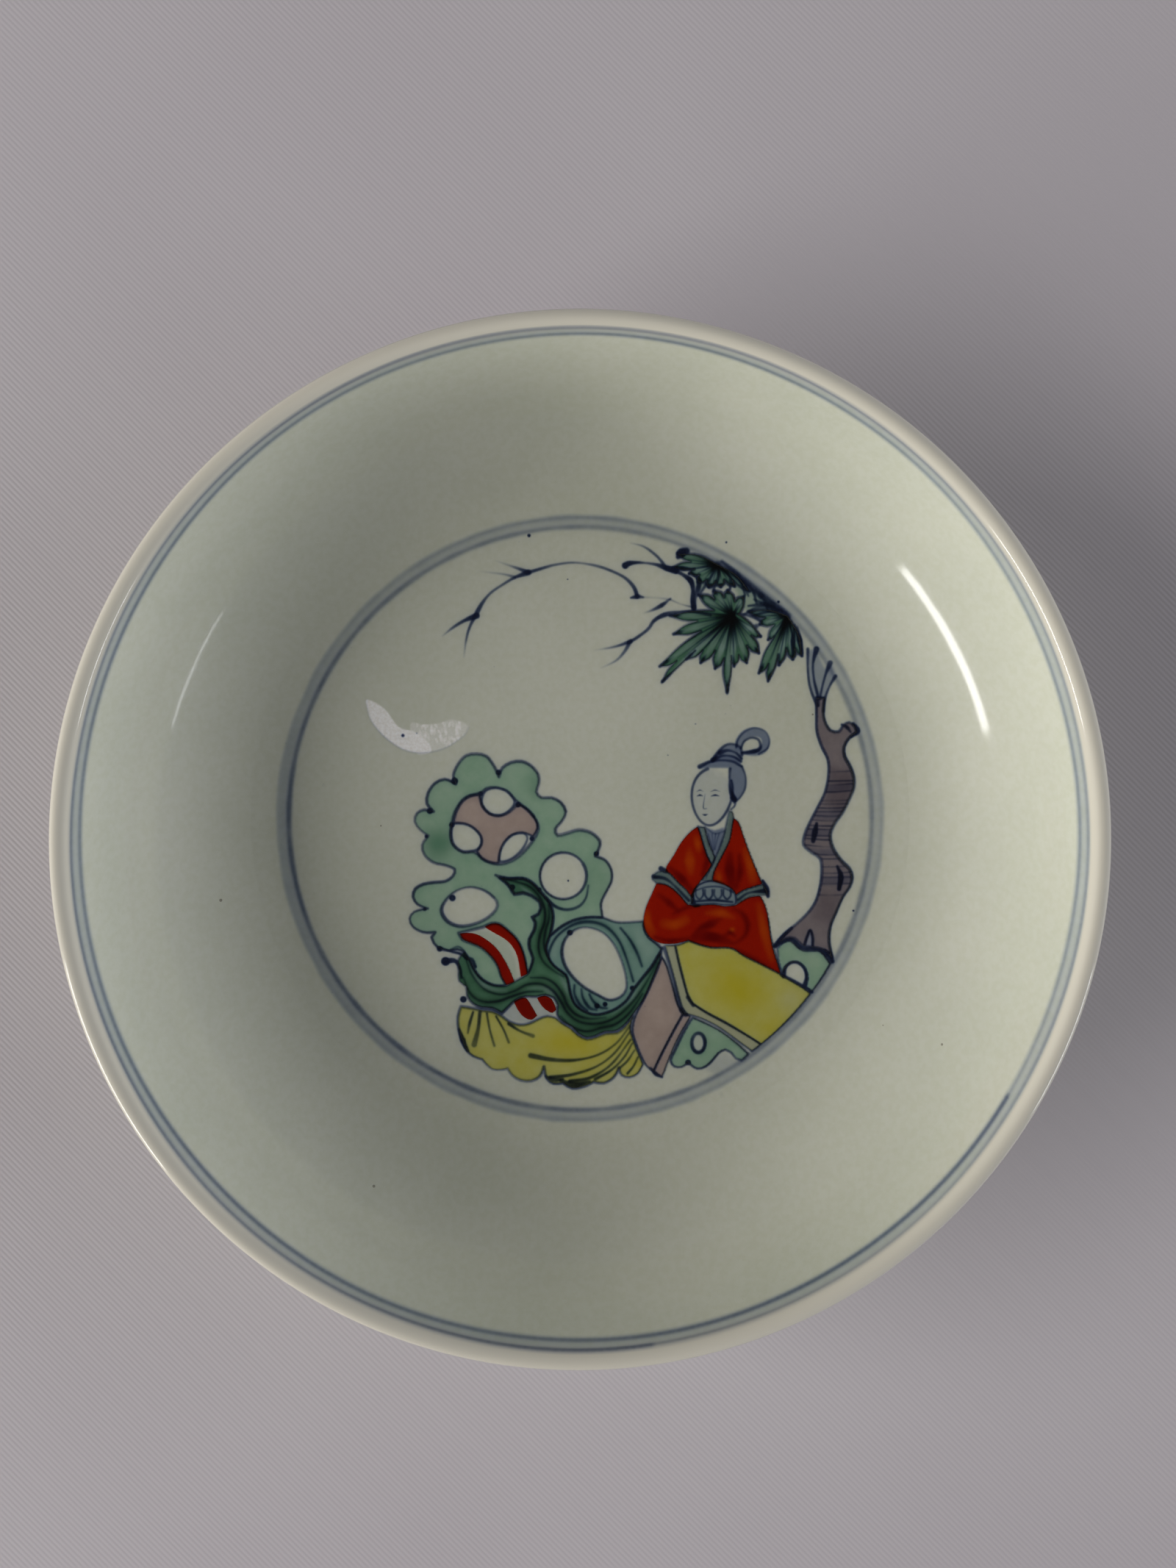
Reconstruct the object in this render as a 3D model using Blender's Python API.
"""A porcelain saucer dish with a painted well.

Metres, +Z up. The origin is in the middle of the foot ring's resting face. The dish is one
turned body of glazed porcelain. Its painting is partly raised: each field of coloured enamel
that was laid on the fired glaze is a thin solid of its own, just above the flat well.
Outlines are in millimetres, x to the right of the painting and y to its top.
"""
import math

import bmesh
import bpy
from mathutils import Vector
from mathutils.geometry import interpolate_bezier

MM = 0.001

# Dish
RIM_RADIUS = 80.75
HEIGHT = 36.0
LIP_THICKNESS = 3.1
LIP_RISE = 1.8
WELL_RADIUS = 50.7
WELL_Z = 9.0
FOOT_OUTER = 50.0
FOOT_TAPER = 0.8
FOOT_WIDTH = 2.2
FOOT_HEIGHT = 5.0
FOOT_INNER = 45.2
FOOT_LEAN = 0.6
BASE_SAG = 0.6
TURNS = 84
WALL_STEPS = 11
OUTER_SWELL = ((68.0, 5.8), (78.9, 21.0))
INNER_SWELL = ((73.6, 21.5), (66.0, 9.6))
LIP_STEPS = 8

# Enamel
GAP = 0.3
ENAMEL_THICKNESS = 0.3
STEP = 0.75
JOIN = 0.05
SHARPEST_MITRE = 0.5

# A painted leaf: how far its sides swell, where along it the parting from the next leaf may lie,
# and how much of the angle between two leaves they may fill
LEAF_BELLY = 0.42
PARTING_NEAREST = 0.3
PARTING_FARTHEST = 0.82
WIDEST_PARTING = 0.5
PARTING_FILLED = 0.8


def clear_scene():
    for thing in list(bpy.data.objects):
        bpy.data.objects.remove(thing, do_unlink=True)


def material(name, color, roughness):
    found = bpy.data.materials.get(name)
    if found:
        return found
    made = bpy.data.materials.new(name)
    made.use_nodes = True
    shader = made.node_tree.nodes["Principled BSDF"]
    shader.inputs["Base Color"].default_value = (*color, 1.0)
    shader.inputs["Roughness"].default_value = roughness
    shader.inputs["Metallic"].default_value = 0.0
    return made


GLAZE = ("dish_glaze", (0.55, 0.56, 0.47), 0.12)
PALE_GREEN = ("enamel_pale_green", (0.22, 0.36, 0.25), 0.25)
DARK_GREEN = ("enamel_dark_green", (0.05, 0.16, 0.08), 0.25)
TURQUOISE = ("enamel_turquoise", (0.20, 0.36, 0.30), 0.25)
GREY_GREEN = ("enamel_grey_green", (0.15, 0.19, 0.14), 0.25)
AUBERGINE = ("enamel_aubergine", (0.26, 0.19, 0.17), 0.25)
YELLOW = ("enamel_yellow", (0.45, 0.40, 0.08), 0.25)
RED = ("enamel_red", (0.36, 0.03, 0.01), 0.35)


# ---------------------------------------------------------------- curves and outlines

def bezier(start, pull_start, pull_end, end, steps):
    return interpolate_bezier(Vector(start), Vector(pull_start), Vector(pull_end), Vector(end), steps)


def span(before, start, end, after):
    """A smooth curve from start to end, without its first point, that heads on to the next one."""
    steps = max(2, round((end - start).length / STEP) + 1)
    piece = bezier(start, start + (end - before) / 6, end - (after - start) / 6, end, steps)
    return [point.xy for point in piece[1:]]


def smooth(*points):
    """One brush stroke: a smooth curve that passes through every point."""
    knots = [Vector(point) for point in points]
    if len(knots) == 2:
        return knots
    knots = [2 * knots[0] - knots[1]] + knots + [2 * knots[-1] - knots[-2]]
    curve = [knots[1]]
    for stretch in zip(knots, knots[1:], knots[2:], knots[3:]):
        curve.extend(span(*stretch))
    return curve


def ring(*points):
    """A closed smooth curve through every point."""
    knots = [Vector(point) for point in points]
    knots = knots[-1:] + knots + knots[:2]
    curve = []
    for stretch in zip(knots, knots[1:], knots[2:], knots[3:]):
        curve.extend(span(*stretch))
    return curve


def ellipse(center, radii, tilt=0.0):
    count = round(math.pi * (radii[0] + radii[1]) / STEP)
    points = []
    for i in range(count):
        angle = 2 * math.pi * i / count
        x = radii[0] * math.cos(angle)
        y = radii[1] * math.sin(angle)
        points.append(Vector((center[0] + x * math.cos(tilt) - y * math.sin(tilt),
                              center[1] + x * math.sin(tilt) + y * math.cos(tilt))))
    return points


def back(stroke):
    return list(reversed(stroke))


def chain(*strokes):
    """Strokes joined end to end into one closed outline, with a corner at each join."""
    outline = []
    for stroke in strokes:
        for point in stroke:
            if not outline or (point - outline[-1]).length > JOIN:
                outline.append(Vector(point))
    if (outline[0] - outline[-1]).length < JOIN:
        outline.pop()
    return outline


def signed_area(outline):
    return sum(a.cross(b) for a, b in zip(outline, outline[1:] + outline[:1])) / 2


def shrunk(outline, distance):
    """The outline moved inwards by a distance; a negative distance moves it outwards."""
    if signed_area(outline) < 0:
        outline = back(outline)
    moved = []
    for i, point in enumerate(outline):
        arriving = (point - outline[i - 1]).normalized()
        leaving = (outline[(i + 1) % len(outline)] - point).normalized()
        inward = Vector((-arriving.y - leaving.y, arriving.x + leaving.x))
        if inward.length < SHARPEST_MITRE:
            inward = arriving - leaving
        inward.normalize()
        slope = max(SHARPEST_MITRE, inward.dot(Vector((-arriving.y, arriving.x))))
        moved.append(point + inward * distance / slope)
    return moved


def leaf_fan(hub, tips, width, whole_turn=False):
    """The outline of long leaves that spread from one hub, listed anticlockwise."""
    hub = Vector(hub)
    blades = [Vector(tip) - hub for tip in tips]
    partings = [blade.angle(following) / 2 for blade, following in zip(blades, blades[1:] + blades[:1])]
    valleys = []
    for blade, following, parting in zip(blades, blades[1:] + blades[:1], partings):
        shorter = min(blade.length, following.length)
        reach = max(width / (2 * math.sin(parting)), PARTING_NEAREST * shorter)
        reach = min(reach, PARTING_FARTHEST * shorter)
        valleys.append(hub + (blade.normalized() + following.normalized()).normalized() * reach)
    if not whole_turn:
        valleys[-1] = hub
    outline = []
    for i, blade in enumerate(blades):
        side = Vector((-blade.y, blade.x)).normalized()
        for neighbour, sign in ((i - 1, -1), (i, 1)):
            valley = valleys[neighbour]
            along = ((valley - hub).dot(blade.normalized()) + blade.length) / 2
            room = PARTING_FILLED * along * math.tan(min(partings[neighbour], WIDEST_PARTING))
            belly = min(LEAF_BELLY * width, room)
            bend = hub + blade.normalized() * along + side * sign * belly
            half = smooth(valley, bend, hub + blade)
            outline.append(half if sign < 0 else back(half))
    return chain(*outline)


# ---------------------------------------------------------------- solids

def mesh_object(name, builder, look, auto_smooth=None):
    mesh = bpy.data.meshes.new(name)
    builder.to_mesh(mesh)
    builder.free()
    mesh.materials.append(material(*look))
    if auto_smooth is not None:
        mesh.shade_smooth()
        mesh.set_sharp_from_angle(angle=auto_smooth)
    made = bpy.data.objects.new(name, mesh)
    bpy.context.scene.collection.objects.link(made)
    return made


def dish_profile():
    """Radius and height from the middle of the base, round the foot and lip, to the well's middle."""
    foot_bottom_outer = FOOT_OUTER - FOOT_TAPER
    foot_bottom_inner = foot_bottom_outer - FOOT_WIDTH
    profile = [(0.0, FOOT_HEIGHT - BASE_SAG), (FOOT_INNER * 0.6, FOOT_HEIGHT - BASE_SAG * 0.6)]
    profile += [(FOOT_INNER, FOOT_HEIGHT), (FOOT_INNER + FOOT_LEAN, FOOT_HEIGHT - FOOT_TAPER)]
    profile += [(foot_bottom_inner, 0.0)]
    profile += [(foot_bottom_outer, 0.0), (FOOT_OUTER, FOOT_TAPER)]
    outer_top = (RIM_RADIUS, HEIGHT - LIP_RISE)
    outer_wall = bezier((FOOT_OUTER + 0.2, FOOT_HEIGHT), *OUTER_SWELL, outer_top, WALL_STEPS)
    profile += [(point.x, point.y) for point in outer_wall[:-1]]
    lip_radius = LIP_THICKNESS / 2
    for i in range(LIP_STEPS + 1):
        angle = math.pi * i / LIP_STEPS
        profile.append((RIM_RADIUS - lip_radius + lip_radius * math.cos(angle),
                        HEIGHT - LIP_RISE + LIP_RISE * math.sin(angle)))
    inner_top = (RIM_RADIUS - LIP_THICKNESS, HEIGHT - LIP_RISE)
    inner_wall = bezier(inner_top, *INNER_SWELL, (WELL_RADIUS, WELL_Z), WALL_STEPS)
    profile += [(point.x, point.y) for point in inner_wall[1:]]
    profile.append((0.0, WELL_Z))
    return profile


def dish():
    builder = bmesh.new()
    points = [builder.verts.new((radius * MM, 0.0, height * MM)) for radius, height in dish_profile()]
    edges = [builder.edges.new(pair) for pair in zip(points, points[1:])]
    bmesh.ops.spin(builder, geom=points + edges, cent=(0, 0, 0), axis=(0, 0, 1), dvec=(0, 0, 0),
                   angle=2 * math.pi, steps=TURNS, use_merge=True)
    bmesh.ops.remove_doubles(builder, verts=builder.verts, dist=1e-6)
    bmesh.ops.recalc_face_normals(builder, faces=builder.faces)
    return mesh_object("dish_body", builder, GLAZE, auto_smooth=math.radians(40))


def enamel(name, outline, look, holes=()):
    """A thin flat solid with its lower face just above the well, and openings for its holes."""
    builder = bmesh.new()
    floor = (WELL_Z + GAP) * MM
    loops = [shrunk(outline, GAP / 2)] + [shrunk(hole, -GAP / 2) for hole in holes]
    edges = []
    for loop in loops:
        corners = [builder.verts.new((point.x * MM, point.y * MM, floor)) for point in loop]
        edges += [builder.edges.new(pair) for pair in zip(corners, corners[1:] + corners[:1])]
    bmesh.ops.triangle_fill(builder, use_beauty=True, edges=edges)
    raised = bmesh.ops.extrude_face_region(builder, geom=builder.faces[:])
    lifted = [item for item in raised["geom"] if isinstance(item, bmesh.types.BMVert)]
    bmesh.ops.translate(builder, verts=lifted, vec=(0, 0, ENAMEL_THICKNESS * MM))
    bmesh.ops.recalc_face_normals(builder, faces=builder.faces)
    return mesh_object(name, builder, look)


# ---------------------------------------------------------------- the garden rock

RIDGE_TIP = (-14.5, -9.9)
RING_LEFT = (-5.3, -20.4)
RING_RIGHT = (3.9, -17.2)
FOLD_TIP = (14.2, -22.6)
BAND_LEFT = (-20.2, -23.1)

ridge_right_edge = smooth(RIDGE_TIP, (-12.5, -10.4), (-10.0, -10.4), (-8.3, -11.2), (-6.8, -12.8),
                          (-5.3, -14.7), (-4.7, -16.8), (-4.9, -18.8), RING_LEFT)
ridge_left_edge = smooth((-7.0, -14.5), (-8.4, -13.4), (-10.0, -12.9), (-11.4, -13.1), (-12.1, -12.0),
                         (-13.0, -11.0), RIDGE_TIP)
ridge_inner_edge = smooth((-9.1, -27.0), (-8.5, -25.6), (-8.2, -24.2), (-8.8, -22.5), (-8.8, -20.9),
                          (-8.0, -19.4), (-7.8, -18.0), (-8.3, -17.1))
ridge_scallop = smooth((-8.3, -17.1), (-7.2, -16.5), (-6.8, -15.5), (-7.0, -14.5))
ring_top = smooth(RING_LEFT, (-3.2, -18.7), (-0.7, -17.5), (1.8, -17.1), RING_RIGHT)
fold_edge = smooth(RING_LEFT, (-5.9, -22.5), (-5.2, -24.7), (-4.0, -26.0), (-2.5, -27.1), (-2.0, -28.6),
                   (-1.7, -30.3), (-0.9, -32.2), (0.8, -33.5), (3.0, -34.0), (5.8, -33.2), (8.0, -31.6),
                   (9.3, -29.6), (10.6, -27.9), (12.6, -25.4), FOLD_TIP)
band_top = smooth((-12.8, -29.0), (-15.0, -28.9), (-17.0, -27.9), (-18.4, -26.2), (-19.2, -24.5), BAND_LEFT)
long_upper_edge = smooth((-16.8, -18.8), (-15.4, -18.2), (-14.0, -18.3), (-12.4, -19.5), (-11.0, -20.9),
                         (-10.1, -22.6), (-9.5, -24.6), (-9.1, -27.0))
long_lower_edge = smooth((-12.8, -29.0), (-13.7, -27.5), (-14.3, -25.7), (-15.4, -24.0), (-17.2, -22.4),
                         (-19.0, -21.6), (-20.4, -21.0), (-21.0, -19.9))

rock_outline = chain(
    smooth((-21.7, 6.1), (-22.0, 7.5), (-21.2, 9.4), (-19.8, 10.9), (-18.0, 11.2), (-16.3, 10.8),
           (-15.1, 9.3), (-14.1, 7.4)),
    smooth((-14.1, 7.4), (-13.5, 8.8), (-12.0, 9.7), (-10.2, 9.9), (-8.5, 9.1), (-7.3, 7.6), (-7.2, 6.1),
           (-7.6, 4.6), (-6.7, 3.6), (-5.0, 3.6), (-3.4, 2.8), (-2.5, 1.2), (-3.1, -0.3), (-4.3, -1.8),
           (-3.9, -2.9), (-2.4, -2.6), (-0.2, -2.0), (1.9, -2.5), (3.4, -3.9), (3.2, -5.3), (2.7, -6.5)),
    smooth((2.7, -6.5), (4.4, -7.3), (5.4, -9.0), (5.4, -10.9), (4.4, -12.9), (3.6, -14.8), RING_RIGHT),
    back(ring_top),
    back(ridge_right_edge),
    back(ridge_left_edge),
    back(ridge_scallop),
    back(ridge_inner_edge),
    back(long_upper_edge),
    back(long_lower_edge),
    band_top,
    smooth(BAND_LEFT, (-21.3, -22.7), (-22.8, -22.9), (-24.3, -22.6), (-25.4, -21.6), (-25.8, -20.6),
           (-25.3, -19.8)),
    smooth((-25.3, -19.8), (-27.3, -19.7), (-29.0, -18.8), (-29.6, -17.4), (-28.8, -16.2), (-26.6, -15.6)),
    smooth((-26.6, -15.6), (-28.2, -14.9), (-29.0, -13.6), (-28.6, -12.2), (-27.2, -11.4), (-25.4, -11.1),
           (-23.4, -10.9), (-22.1, -10.0), (-21.8, -8.8), (-23.4, -8.1), (-25.5, -7.6), (-27.0, -6.3),
           (-27.4, -4.6), (-26.4, -3.0)),
    smooth((-26.4, -3.0), (-27.8, -1.9), (-28.7, -0.5), (-28.3, 0.9), (-27.1, 1.5), (-25.6, 1.3)),
    smooth((-25.6, 1.3), (-26.6, 2.6), (-26.4, 4.4), (-25.2, 6.1), (-23.5, 6.8), (-21.7, 6.1)),
)
core_opening = ring((-14.7, 5.4), (-12.7, 4.8), (-11.1, 3.1), (-8.7, 1.1), (-7.3, -1.0), (-7.6, -2.9),
                    (-9.8, -5.8), (-12.0, -7.4), (-14.3, -7.9), (-16.6, -7.2), (-18.4, -5.8), (-20.3, -5.8),
                    (-21.9, -4.7), (-22.5, -2.8), (-22.2, -0.6), (-21.7, 1.2), (-20.4, 3.2), (-19.0, 4.0),
                    (-17.3, 4.4), (-16.3, 5.2))
core_outline = chain(
    smooth((-17.5, 4.2), (-19.2, 3.9), (-20.7, 2.7), (-21.6, 0.8), (-22.0, -0.9)),
    smooth((-22.0, -0.9), (-20.3, -0.9), (-18.6, -1.6), (-17.3, -3.0), (-17.1, -4.4), (-17.9, -5.7)),
    smooth((-17.9, -5.7), (-17.1, -6.9), (-15.7, -7.6), (-14.2, -7.8)),
    smooth((-14.2, -7.8), (-13.9, -5.8), (-13.2, -4.1), (-11.8, -2.8), (-10.0, -2.4), (-8.2, -3.1)),
    smooth((-8.2, -3.1), (-7.4, -1.6), (-7.9, 0.1), (-9.2, 1.6), (-10.8, 2.6)),
    smooth((-10.8, 2.6), (-12.2, 1.2), (-14.0, 0.5), (-15.8, 0.9), (-17.0, 2.3), (-17.5, 4.2)),
)
round_opening = ellipse((-2.95, -9.95), (4.05, 4.05))
oval_opening = ring((-24.1, -15.9), (-23.2, -14.0), (-21.4, -12.5), (-19.0, -11.9), (-16.4, -12.6),
                    (-14.5, -14.3), (-14.6, -15.8), (-16.3, -17.4), (-18.6, -18.4), (-21.0, -18.7),
                    (-23.1, -17.8))
tall_opening = ring((1.3, -18.9), (-0.9, -19.3), (-2.6, -20.9), (-3.2, -23.2), (-2.6, -25.6), (-1.2, -27.6),
                    (0.7, -29.3), (3.0, -30.6), (5.0, -31.5), (6.9, -31.0), (8.0, -29.6), (7.9, -27.2),
                    (7.0, -24.2), (5.7, -21.6), (3.8, -19.7))
fold_outline = chain(
    ring_top,
    smooth(RING_RIGHT, (6.3, -18.0), (8.8, -18.0), (10.9, -17.8)),
    smooth((10.9, -17.8), (11.1, -19.3), (11.9, -20.7), (13.1, -21.6), FOLD_TIP),
    back(fold_edge),
)
ridge_outline = chain(
    ridge_right_edge,
    fold_edge,
    smooth(FOLD_TIP, (13.6, -25.6), (12.3, -28.6), (11.0, -31.3), (9.6, -33.4), (8.1, -35.4), (6.3, -36.8),
           (4.2, -37.0), (2.8, -37.6), (1.2, -38.0), (-0.3, -37.3), (-1.5, -36.1), (-3.0, -35.3),
           (-4.0, -34.0), (-3.9, -32.4), (-4.6, -31.1)),
    smooth((-4.6, -31.1), (-6.0, -30.6), (-7.6, -30.9), (-9.6, -30.9), (-11.2, -31.5), (-12.5, -32.7),
           (-13.6, -33.8)),
    smooth((-13.6, -33.8), (-15.3, -32.9), (-17.0, -32.8), (-18.6, -32.1), (-19.6, -30.8), (-19.8, -29.2),
           (-21.0, -28.2), (-21.1, -26.4), (-21.2, -24.6), BAND_LEFT),
    back(band_top),
    smooth((-12.8, -29.0), (-11.2, -28.2), (-9.1, -27.0)),
    ridge_inner_edge,
    ridge_scallop,
    ridge_left_edge,
)
base_outline = chain(
    smooth((-20.7, -32.6), (-18.9, -32.9), (-16.8, -33.3), (-15.2, -33.5), (-13.6, -34.3), (-12.4, -35.2),
           (-10.6, -35.8), (-8.9, -35.6), (-7.2, -34.8), (-5.7, -34.3), (-4.3, -34.6)),
    smooth((-4.3, -34.6), (-3.1, -35.6), (-1.7, -36.4), (-0.4, -37.6), (1.2, -38.3), (2.9, -37.9),
           (4.4, -37.3), (6.5, -37.1), (7.9, -36.0), (9.0, -34.6)),
    smooth((9.0, -34.6), (8.7, -36.6), (9.4, -39.0), (10.3, -41.2), (10.9, -42.6)),
    smooth((10.9, -42.6), (10.0, -44.2), (8.5, -44.9), (7.2, -44.5), (6.7, -43.4)),
    smooth((6.7, -43.4), (5.8, -44.9), (4.1, -45.9), (2.3, -45.7)),
    smooth((2.3, -45.7), (0.6, -46.5), (-1.4, -46.8), (-3.0, -45.9)),
    smooth((-3.0, -45.9), (-4.6, -46.0), (-5.8, -45.1), (-6.3, -43.2)),
    smooth((-6.3, -43.2), (-7.0, -44.7), (-8.5, -45.5), (-10.3, -45.4), (-11.7, -44.6), (-12.6, -43.4)),
    smooth((-12.6, -43.4), (-13.8, -43.6), (-15.2, -43.5), (-16.2, -42.7), (-17.0, -41.8)),
    smooth((-17.0, -41.8), (-18.6, -41.2), (-19.8, -40.1), (-20.5, -38.5), (-21.1, -36.6), (-21.2, -34.4),
           (-20.7, -32.6)),
)


def garden_rock():
    enamel("rock_pale_green", rock_outline, PALE_GREEN, holes=(core_opening, round_opening, oval_opening))
    enamel("rock_core_aubergine", core_outline, AUBERGINE)
    enamel("rock_ridge_dark_green", ridge_outline, DARK_GREEN)
    enamel("rock_fold_turquoise", fold_outline, TURQUOISE, holes=(tall_opening,))
    enamel("rock_base_yellow", base_outline, YELLOW)
    long_upper = chain(long_upper_edge, smooth((-9.1, -27.0), (-10.35, -27.6)),
                       smooth((-10.35, -27.6), (-10.6, -25.7), (-11.0, -23.8), (-11.9, -22.1),
                              (-13.3, -20.8), (-14.9, -19.9), (-16.8, -18.8)))
    long_lower = chain(back(long_lower_edge), smooth((-12.8, -29.0), (-11.35, -28.4)),
                       smooth((-11.35, -28.4), (-12.1, -26.6), (-13.0, -24.8), (-14.3, -22.8),
                              (-16.0, -21.2), (-17.9, -20.1), (-19.5, -19.8), (-21.0, -19.9)))
    short_left = chain(smooth((-11.6, -31.7), (-10.6, -31.2), (-9.4, -31.1), (-8.5, -32.4), (-7.4, -34.2)),
                       smooth((-7.4, -34.2), (-8.5, -35.0), (-9.8, -34.5), (-10.9, -33.2), (-11.6, -31.7)))
    short_right = chain(smooth((-7.6, -31.1), (-6.2, -30.7), (-4.9, -31.4), (-4.1, -33.2)),
                        smooth((-4.1, -33.2), (-4.8, -33.8), (-5.9, -33.3), (-6.9, -32.3), (-7.6, -31.1)))
    enamel("rock_band_long_upper", long_upper, RED)
    enamel("rock_band_long_lower", long_lower, RED)
    enamel("rock_band_short_left", short_left, RED)
    enamel("rock_band_short_right", short_right, RED)


# ---------------------------------------------------------------- the seated lady's robe

COLLAR_CROSS = (22.9, -8.1)
SASH_LEFT = (19.4, -15.0)
SASH_RIGHT = (27.0, -15.0)

collar_left_outer = smooth((20.4, -1.3), (20.9, -2.7), (21.4, -4.5), (22.1, -6.5), COLLAR_CROSS)
collar_right_inner = smooth((25.8, 1.4), (25.4, -0.6), (24.9, -2.9), (24.2, -5.0), (23.4, -6.8), COLLAR_CROSS,
                            (22.0, -9.5), (20.9, -10.9))
collar_right_outer = smooth((26.6, 0.2), (26.3, -1.8), (25.9, -3.8), (24.9, -5.9), (23.9, -7.8),
                            (23.2, -9.3), (22.9, -10.9))
collar_front = smooth(COLLAR_CROSS, (22.0, -9.5), (20.9, -10.9))
cuff_left_upper = smooth((14.7, -9.1), (15.6, -9.6), (17.0, -11.1), (18.4, -12.4), (19.5, -13.9))
cuff_left_lower = smooth((13.2, -11.2), (14.7, -11.4), (16.0, -12.1), (17.4, -13.4), (18.7, -14.9), SASH_LEFT)
cuff_right_upper = smooth((27.0, -13.4), (28.3, -12.5), (30.0, -11.9), (31.7, -11.4))
cuff_right_lower = smooth(SASH_RIGHT, (28.1, -14.3), (29.5, -13.6), (31.2, -13.4))
robe_on_table = smooth((18.8, -21.2), (20.8, -21.9), (22.9, -22.4), (25.0, -22.4), (26.5, -22.6),
                       (28.4, -23.8), (31.0, -25.1), (33.0, -26.1), (34.9, -27.1))


def seated_lady():
    shoulder_left = chain(
        smooth((20.4, -1.3), (18.9, -2.5), (17.4, -4.3), (16.2, -6.4), (15.0, -8.2), (14.7, -9.1)),
        cuff_left_upper,
        smooth((19.5, -13.9), (19.9, -12.4), (20.9, -10.9)),
        back(collar_front),
        back(collar_left_outer),
    )
    shoulder_right = chain(
        smooth((26.6, 0.2), (27.5, -0.7), (28.2, -2.6), (29.0, -4.9), (30.0, -7.5), (31.0, -9.9), (31.7, -11.4)),
        back(cuff_right_upper),
        smooth((27.0, -13.4), (26.4, -12.4), (25.1, -11.6), (22.9, -10.9)),
        back(collar_right_outer),
    )
    sleeves = chain(
        cuff_left_lower,
        smooth(SASH_LEFT, (21.2, -15.0), (23.2, -14.9), (25.2, -15.2), SASH_RIGHT),
        cuff_right_lower,
        smooth((31.2, -13.4), (31.9, -14.6), (32.6, -17.0), (33.0, -20.0), (33.5, -22.6), (34.2, -24.9),
               (34.9, -27.1)),
        back(robe_on_table),
        smooth((18.8, -21.2), (16.9, -21.7), (14.8, -21.8), (13.1, -21.4), (11.8, -20.4), (11.0, -18.8),
               (11.0, -17.1), (11.5, -15.1), (12.4, -13.1), (13.2, -11.2)),
    )
    collar_left = chain(
        collar_left_outer,
        smooth(COLLAR_CROSS, (23.4, -6.8)),
        smooth((23.4, -6.8), (22.8, -5.3), (22.1, -3.5), (21.6, -1.5)),
        smooth((21.6, -1.5), (20.4, -1.3)),
    )
    collar_right = chain(
        collar_right_inner,
        smooth((20.9, -10.9), (22.9, -10.9)),
        back(collar_right_outer),
        smooth((26.6, 0.2), (26.4, 1.2)),
    )
    cuff_left = chain(
        smooth((14.7, -9.1), (13.5, -9.2), (12.6, -9.8), (12.5, -10.6), (13.2, -11.2)),
        cuff_left_lower,
        smooth(SASH_LEFT, (19.5, -13.9)),
        back(cuff_left_upper),
    )
    cuff_right = chain(
        cuff_right_upper,
        smooth((31.7, -11.4), (32.3, -12.3), (32.6, -13.3)),
        smooth((32.6, -13.3), (31.2, -13.4)),
        back(cuff_right_lower),
        smooth(SASH_RIGHT, (27.0, -13.4)),
    )
    enamel("robe_shoulder_left", shoulder_left, RED)
    enamel("robe_shoulder_right", shoulder_right, RED)
    enamel("robe_sleeves", sleeves, RED)
    enamel("robe_collar_left", collar_left, GREY_GREEN)
    enamel("robe_collar_right", collar_right, GREY_GREEN)
    enamel("robe_cuff_left", cuff_left, GREY_GREEN)
    enamel("robe_cuff_right", cuff_right, GREY_GREEN)


# ---------------------------------------------------------------- the table

TABLE_NEAR = (19.5, -32.1)
TABLE_CORNER = (17.9, -33.8)
PAINTED_RADIUS = 50.2


def on_circle(x, radius=PAINTED_RADIUS, side=-1):
    return (x, side * math.sqrt(radius * radius - x * x))


top_left_line = smooth((16.5, -22.0), (17.1, -24.8), (18.0, -28.3), (18.7, -30.7), TABLE_NEAR)
top_lower_line = smooth(TABLE_NEAR, (22.0, -33.7), (25.2, -35.4), (28.6, -37.4), on_circle(31.4))
edge_left_line = smooth((14.7, -22.0), (15.4, -24.4), (16.2, -27.4), (17.0, -30.6), TABLE_CORNER)
edge_lower_line = smooth(TABLE_CORNER, (20.6, -34.5), (23.9, -36.1), (27.0, -38.3), on_circle(29.8))
leg_line = smooth(TABLE_CORNER, (15.9, -37.4), (13.9, -41.3), (12.7, -43.9))


def well_arc(start_x, end_x):
    count = max(3, round(abs(end_x - start_x) / STEP))
    return [Vector(on_circle(start_x + (end_x - start_x) * i / count)) for i in range(count + 1)]


def table():
    top = chain(
        top_left_line,
        top_lower_line,
        well_arc(31.4, 40.0),
        smooth(on_circle(40.0), (38.4, -29.2), (34.9, -27.1)),
        back(robe_on_table),
        smooth((18.8, -21.2), (17.4, -21.8), (16.5, -22.0)),
    )
    edge = chain(
        edge_left_line,
        edge_lower_line,
        well_arc(29.8, 31.4),
        back(top_lower_line),
        back(top_left_line),
        smooth((16.5, -22.0), (14.7, -22.0)),
    )
    side = chain(
        smooth((14.2, -24.0), (15.0, -25.6), (16.0, -29.0), (16.9, -32.2), TABLE_CORNER),
        leg_line,
        smooth((12.7, -43.9), (11.5, -42.9), (10.5, -41.0), (9.7, -39.0), (9.1, -37.0), (9.4, -34.8),
               (10.4, -32.6), (11.7, -30.0), (12.9, -27.0), (14.2, -24.0)),
    )
    leg = chain(
        back(leg_line),
        smooth(TABLE_CORNER, (19.2, -34.3)),
        smooth((19.2, -34.3), (17.2, -37.7), (15.6, -41.2), (14.2, -44.9)),
        smooth((14.2, -44.9), (12.7, -43.9)),
    )
    enamel("table_top_yellow", top, YELLOW)
    enamel("table_edge_yellow", edge, YELLOW)
    enamel("table_side_aubergine", side, AUBERGINE)
    enamel("table_leg_aubergine", leg, AUBERGINE)


# ---------------------------------------------------------------- the ground and the tree

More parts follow.
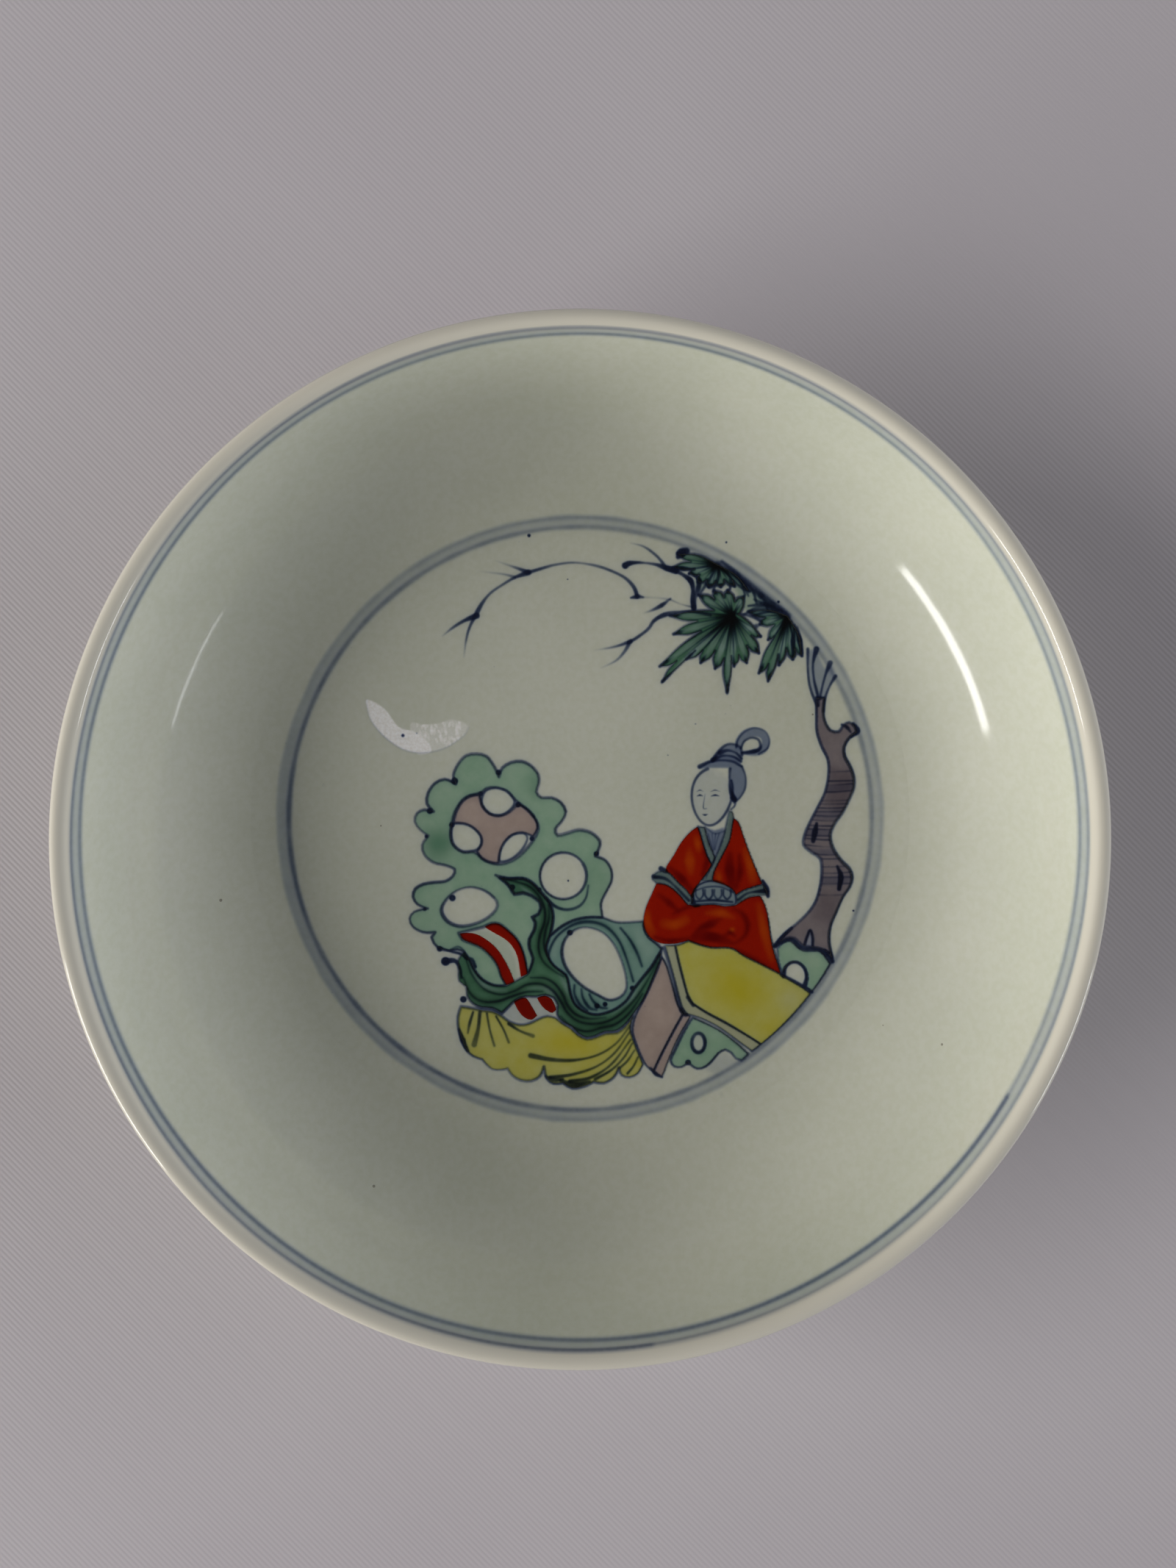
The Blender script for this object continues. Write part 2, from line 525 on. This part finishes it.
def ground():
    grass = chain(
        smooth((19.5, -34.5), (23.7, -36.5), (26.8, -38.7), on_circle(29.2)),
        smooth(on_circle(29.2), (28.0, -42.0), (27.0, -41.6), (26.2, -40.6), (25.2, -40.1), (24.0, -40.7),
               (23.0, -41.9), (21.8, -43.0), (20.3, -43.4), (18.7, -42.4)),
        smooth((18.7, -42.4), (17.6, -43.1), (16.3, -43.0), (15.7, -41.9), (16.4, -40.3), (17.8, -37.4),
               (19.5, -34.5)),
    )
    foot = chain(
        smooth((34.2, -22.6), (35.2, -21.5), (36.5, -21.2), (37.6, -22.2), (38.8, -22.9), (41.6, -23.0),
               (42.7, -24.2), (43.4, -25.2)),
        well_arc(43.4, 40.2),
        smooth(on_circle(40.2), (39.2, -29.2)),
        smooth((39.2, -29.2), (39.4, -27.4), (38.9, -25.9), (37.7, -25.0), (36.4, -25.1), (35.5, -26.1),
               (35.2, -27.0)),
        smooth((35.2, -27.0), (34.5, -25.0), (34.2, -22.6)),
    )
    enamel("ground_pale_green", grass, PALE_GREEN)
    enamel("tree_foot_pale_green", foot, PALE_GREEN)


def tree():
    trunk = chain(
        smooth((40.9, 21.0), (41.0, 18.0), (41.1, 15.0), (42.0, 12.3), (43.0, 10.2), (43.1, 7.6), (42.5, 4.6),
               (41.3, 2.1), (40.0, -0.4), (39.0, -2.7), (38.8, -4.6), (40.2, -5.9)),
        smooth((40.2, -5.9), (41.7, -7.0), (41.9, -9.5), (41.6, -12.0), (40.8, -14.5), (39.4, -16.5),
               (37.4, -18.4), (35.5, -20.0), (34.0, -21.9)),
        smooth((34.0, -21.9), (35.8, -20.9), (37.2, -20.9), (38.4, -22.0), (40.4, -22.4), (42.2, -22.8),
               (43.8, -24.4)),
        smooth((43.8, -24.4), (43.2, -21.4), (43.4, -18.8), (44.4, -16.3), (45.6, -13.6), (46.8, -11.8),
               (47.2, -10.2), (46.7, -8.7), (45.2, -7.2), (43.8, -5.0), (43.4, -2.8), (44.2, -0.8),
               (45.5, 1.0), (46.7, 3.4), (47.5, 5.5), (47.4, 7.5), (46.8, 9.1), (45.9, 10.8), (45.8, 12.4),
               (46.7, 14.0), (48.0, 14.9)),
        smooth((48.0, 14.9), (47.6, 16.1), (46.7, 16.7), (45.6, 16.1), (44.9, 15.1), (43.4, 15.3), (42.4, 17.0),
               (42.2, 19.0), (42.4, 21.0)),
        smooth((42.4, 21.0), (40.9, 21.0)),
    )
    enamel("tree_trunk_aubergine", trunk, AUBERGINE)
    middle_tips = ((15.6, 35.2), (16.2, 32.0), (13.8, 26.4), (14.3, 23.8), (18.4, 27.6), (20.9, 27.0),
                   (23.4, 26.0), (25.5, 22.0), (26.7, 26.4), (28.9, 27.0), (31.0, 28.7), (31.3, 31.6),
                   (28.4, 38.5), (25.6, 39.6), (23.3, 39.5), (20.6, 38.8))
    upper_tips = ((16.9, 46.0), (16.1, 43.6), (18.9, 42.5), (20.4, 41.0), (22.3, 40.2), (24.4, 40.2),
                  (26.8, 40.3), (29.4, 39.4))
    right_tips = ((29.2, 35.9), (31.2, 33.7), (32.6, 31.0), (31.0, 25.2), (32.6, 23.8), (34.5, 26.6),
                  (36.9, 27.6), (38.5, 28.2))
    enamel("leaves_middle_green", leaf_fan((26.4, 35.2), middle_tips, 1.9, whole_turn=True), DARK_GREEN)
    enamel("leaves_upper_green", leaf_fan((23.9, 44.1), upper_tips, 1.6), DARK_GREEN)
    enamel("leaves_right_green", leaf_fan((36.0, 35.2), right_tips, 1.7), DARK_GREEN)


clear_scene()
dish()
garden_rock()
seated_lady()
table()
ground()
tree()
